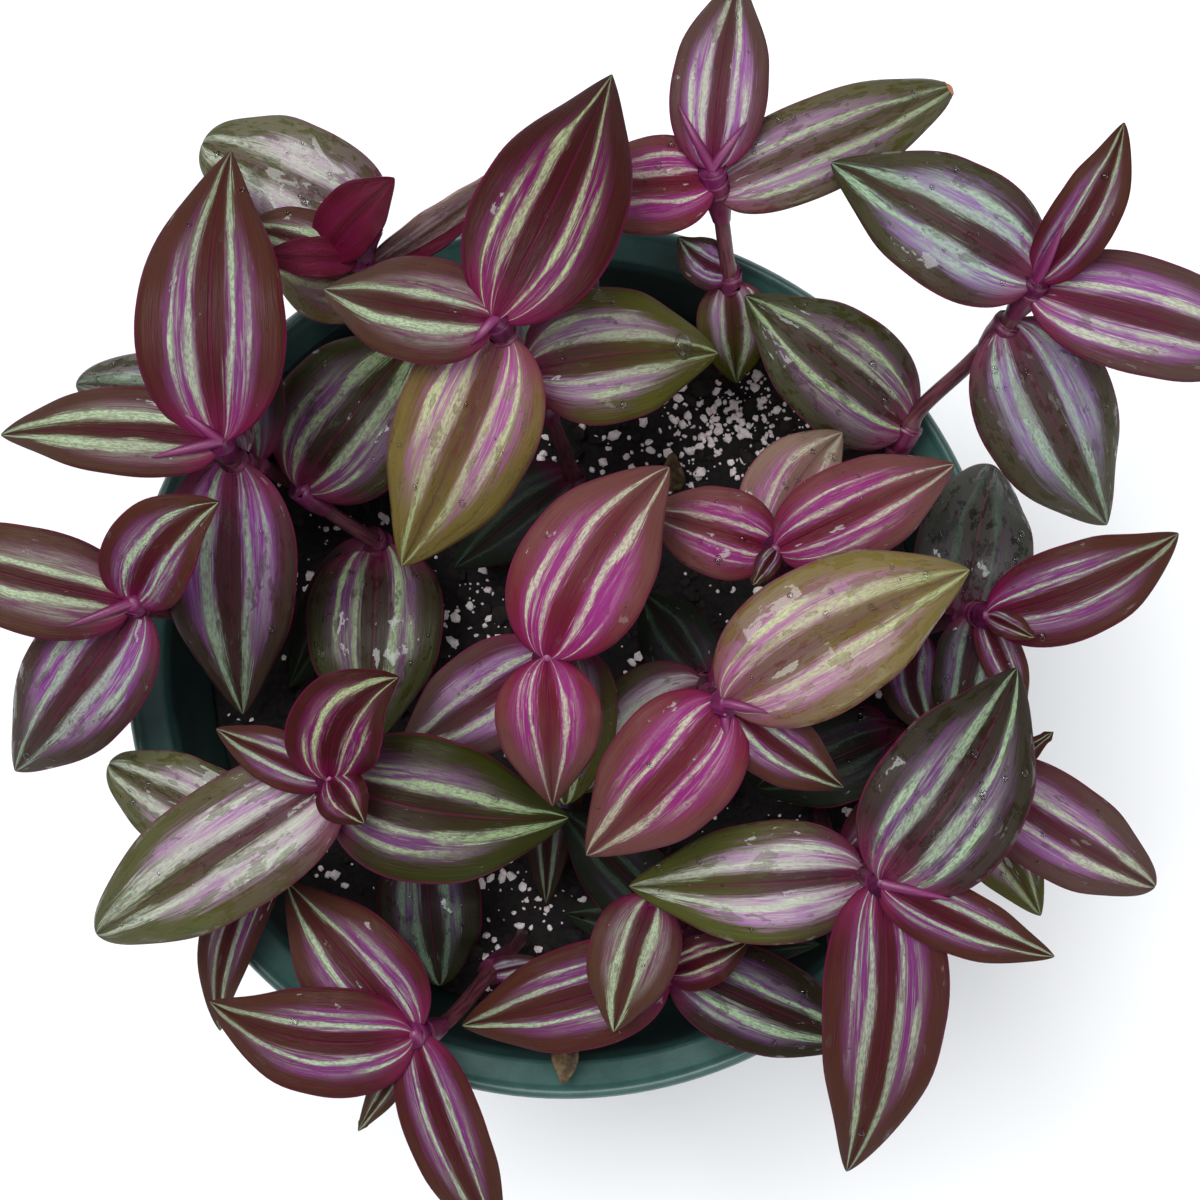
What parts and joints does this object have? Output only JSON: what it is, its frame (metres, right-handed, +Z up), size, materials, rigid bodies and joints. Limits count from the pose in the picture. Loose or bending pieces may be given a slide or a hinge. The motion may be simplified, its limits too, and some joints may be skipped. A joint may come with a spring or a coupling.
{
  "type": "potted plant",
  "caption": "Bushy trailing plant with striped maroon and silver leaves in a round tapered green plastic pot filled with potting mix.",
  "frame": {"origin": "the pot's axis at the flat base it stands on", "axes": "+Z up along the pot's axis, +Y towards the top edge of the picture, +X towards its right edge"},
  "size_m": [0.2382, 0.2235, 0.176],
  "materials": {
    "green_plastic": "satin moulded plastic",
    "potting_mix": "damp, crumbly potting mix with grains of perlite",
    "leaf": "soft, slightly glossy striped leaf, wet in places"
  },
  "bodies": {
    "root": {"pot": "green_plastic", "soil": "potting_mix", "shoot_left_high": "leaf", "shoot_left_edge": "leaf", "shoot_back_left": "leaf", "shoot_left_inner": "leaf", "shoot_back_high": "leaf", "shoot_back_edge": "leaf", "shoot_back_right_edge": "leaf", "shoot_right_edge": "leaf", "shoot_right_inner": "leaf", "shoot_centre_right": "leaf", "shoot_centre": "leaf", "shoot_front_left": "leaf", "shoot_front_left_edge": "leaf", "shoot_front_right": "leaf", "shoot_front_inner": "leaf", "shoot_right_low": "leaf"}
  },
  "joints": []
}
